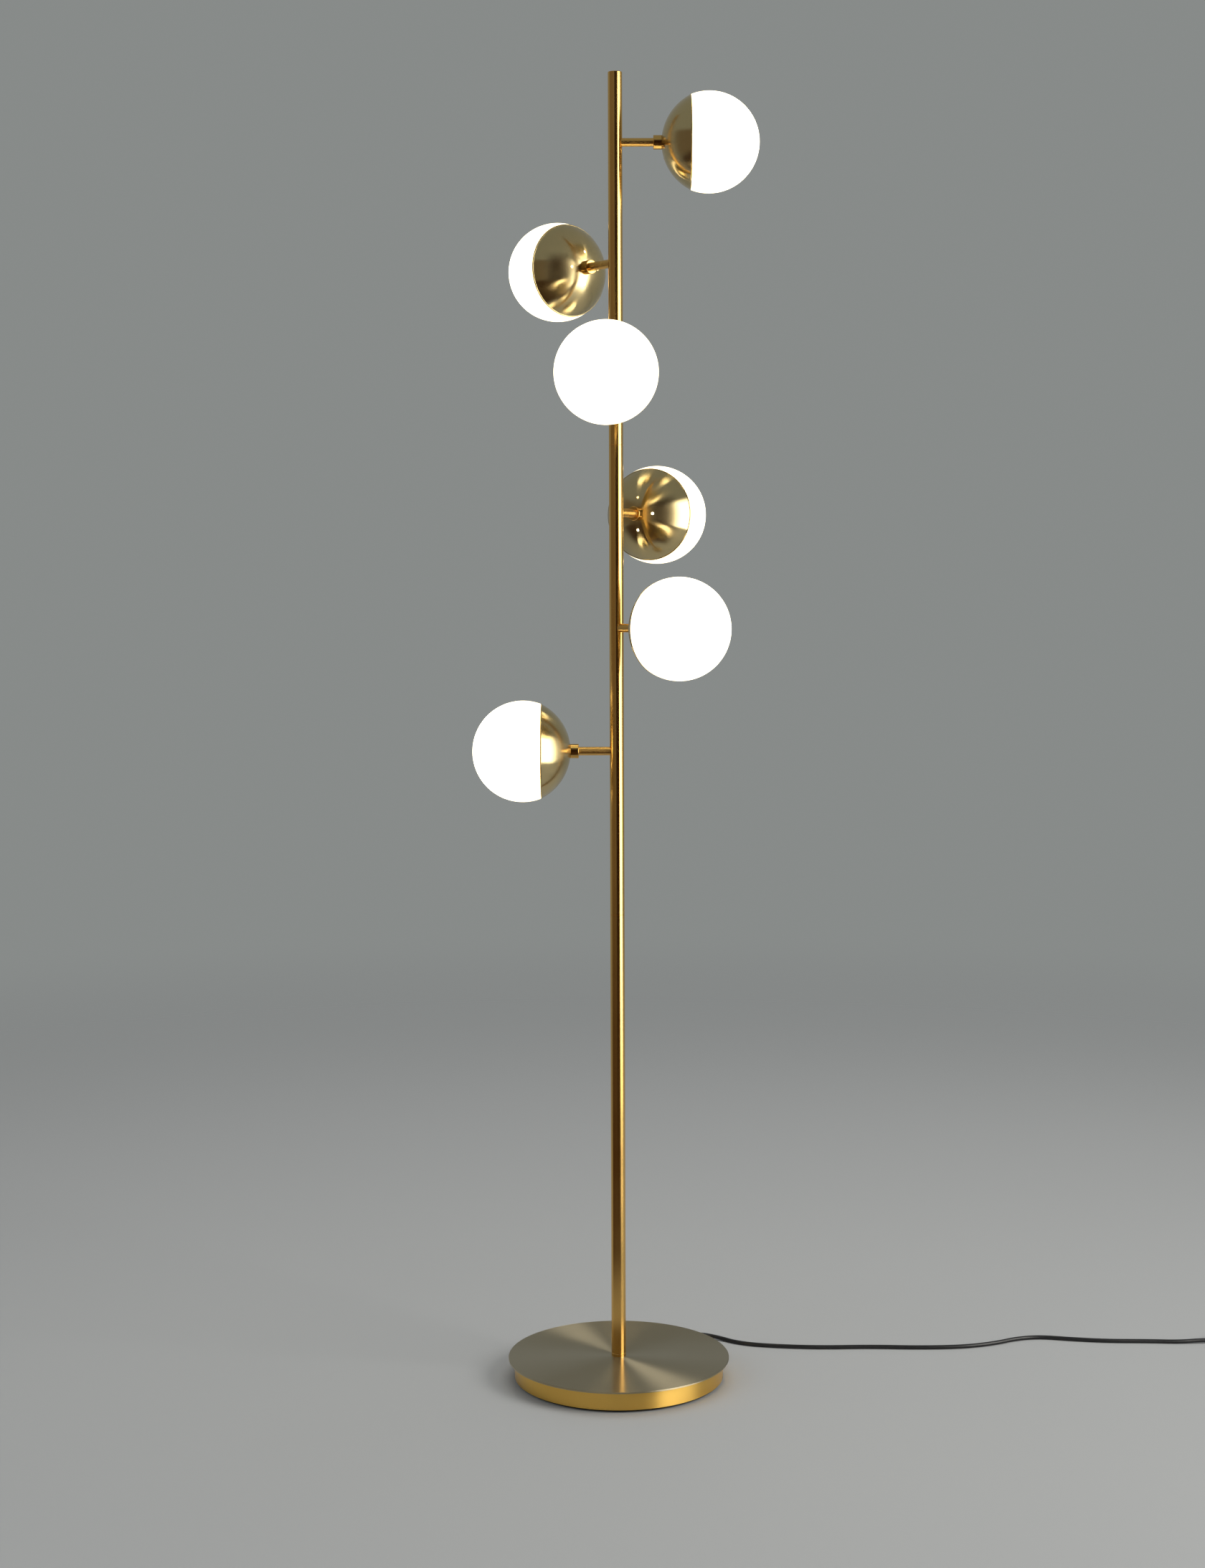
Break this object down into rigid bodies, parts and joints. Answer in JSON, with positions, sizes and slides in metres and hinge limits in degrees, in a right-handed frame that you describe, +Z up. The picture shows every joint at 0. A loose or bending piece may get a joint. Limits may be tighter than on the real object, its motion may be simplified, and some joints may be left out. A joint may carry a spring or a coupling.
{
  "type": "tree floor lamp",
  "caption": "Slim brass pole on a weighted round base, with short arms that carry lit opal glass globes in spun brass domes, and a black cord with a foot switch and a flat plug.",
  "frame": {"origin": "on the floor under the pole's axis, at the middle of the foot pad's underside", "axes": "+Z up along the pole; +X to the lamp's right as the picture sees it, along the top arm; -Y towards the viewer"},
  "size_m": [1.2394, 0.3851, 1.807],
  "materials": {
    "polished_brass": "polished, clear lacquered",
    "spun_brass": "spun, with fine radial and circular marks",
    "brushed_brass": "circular brushed",
    "satin_brass": "satin",
    "opal_glass": "opal white, gloss, lit from inside",
    "frosted_glass": "frosted",
    "white_ceramic": "glazed ceramic",
    "spring_steel": "plain spring steel",
    "zinc_steel": "zinc plated",
    "cast_iron": "black painted casting",
    "black_foam": "fine closed-cell foam",
    "black_cord": "smooth black sheath",
    "black_rubber": "matte moulded",
    "black_plastic": "fine moulded grain",
    "black_button": "semi-gloss",
    "terminal_plastic": "natural",
    "wire_insulation": "smooth",
    "plated_pins": "nickel plated"
  },
  "bodies": {
    "stand": {"arm_1": "polished_brass", "arm_2": "polished_brass", "arm_3": "polished_brass", "arm_4": "polished_brass", "arm_5": "polished_brass", "arm_6": "polished_brass", "base_cover": "zinc_steel", "base_drum": "satin_brass", "base_plate": "brushed_brass", "base_weight": "cast_iron", "bulb_1": "frosted_glass", "bulb_2": "frosted_glass", "bulb_3": "frosted_glass", "bulb_4": "frosted_glass", "bulb_5": "frosted_glass", "bulb_6": "frosted_glass", "cord_coil": "black_cord", "cord_inside": "black_cord", "cord_lead": "black_cord", "cover_screws": "zinc_steel", "dome_1": "spun_brass", "dome_2": "spun_brass", "dome_3": "spun_brass", "dome_4": "spun_brass", "dome_5": "spun_brass", "dome_6": "spun_brass", "dome_collars": "polished_brass", "dome_nuts": "zinc_steel", "foot_pad": "black_foam", "globe_springs": "spring_steel", "lampholder_1": "white_ceramic", "lampholder_2": "white_ceramic", "lampholder_3": "white_ceramic", "lampholder_4": "white_ceramic", "lampholder_5": "white_ceramic", "lampholder_6": "white_ceramic", "plug_body": "black_plastic", "plug_pins": "plated_pins", "pole_cap": "polished_brass", "pole_couplers": "zinc_steel", "pole_foot": "polished_brass", "pole_lower": "polished_brass", "pole_middle": "polished_brass", "pole_upper": "polished_brass", "stem_nut": "zinc_steel", "stem_stud": "zinc_steel", "stem_washer": "zinc_steel", "strain_relief": "black_rubber", "switch_base": "black_plastic", "switch_cover": "black_plastic", "switch_spring": "spring_steel", "terminal_block": "terminal_plastic", "wiring_loom": "wire_insulation"},
    "glass_1": {"globe_1": "opal_glass"},
    "glass_2": {"globe_2": "opal_glass"},
    "glass_3": {"globe_3": "opal_glass"},
    "glass_4": {"globe_4": "opal_glass"},
    "glass_5": {"globe_5": "opal_glass"},
    "glass_6": {"globe_6": "opal_glass"},
    "foot_button": {"switch_button": "black_button"}
  },
  "joints": [
    {"name": "globe_1_pull_off", "type": "slide", "parent": "stand", "child": "glass_1", "axis": [1, 0, 0], "range_m": [0, 0.07]},
    {"name": "globe_2_pull_off", "type": "slide", "parent": "stand", "child": "glass_2", "axis": [-0.6293, 0.7771, 0], "range_m": [0, 0.07]},
    {"name": "globe_3_pull_off", "type": "slide", "parent": "stand", "child": "glass_3", "axis": [-0.1045, -0.9945, 0], "range_m": [0, 0.07]},
    {"name": "globe_4_pull_off", "type": "slide", "parent": "stand", "child": "glass_4", "axis": [0.454, 0.891, 0], "range_m": [0, 0.07]},
    {"name": "globe_5_pull_off", "type": "slide", "parent": "stand", "child": "glass_5", "axis": [0.6428, -0.766, 0], "range_m": [0, 0.07]},
    {"name": "globe_6_pull_off", "type": "slide", "parent": "stand", "child": "glass_6", "axis": [-1, 0, 0], "range_m": [0, 0.07]},
    {"name": "foot_switch_press", "type": "slide", "parent": "stand", "child": "foot_button", "axis": [0, 0, -1], "range_m": [0, 0.0035], "stiffness_N_per_m": 1500, "springref_m": -0.001, "deforming": ["switch_spring"]}
  ]
}
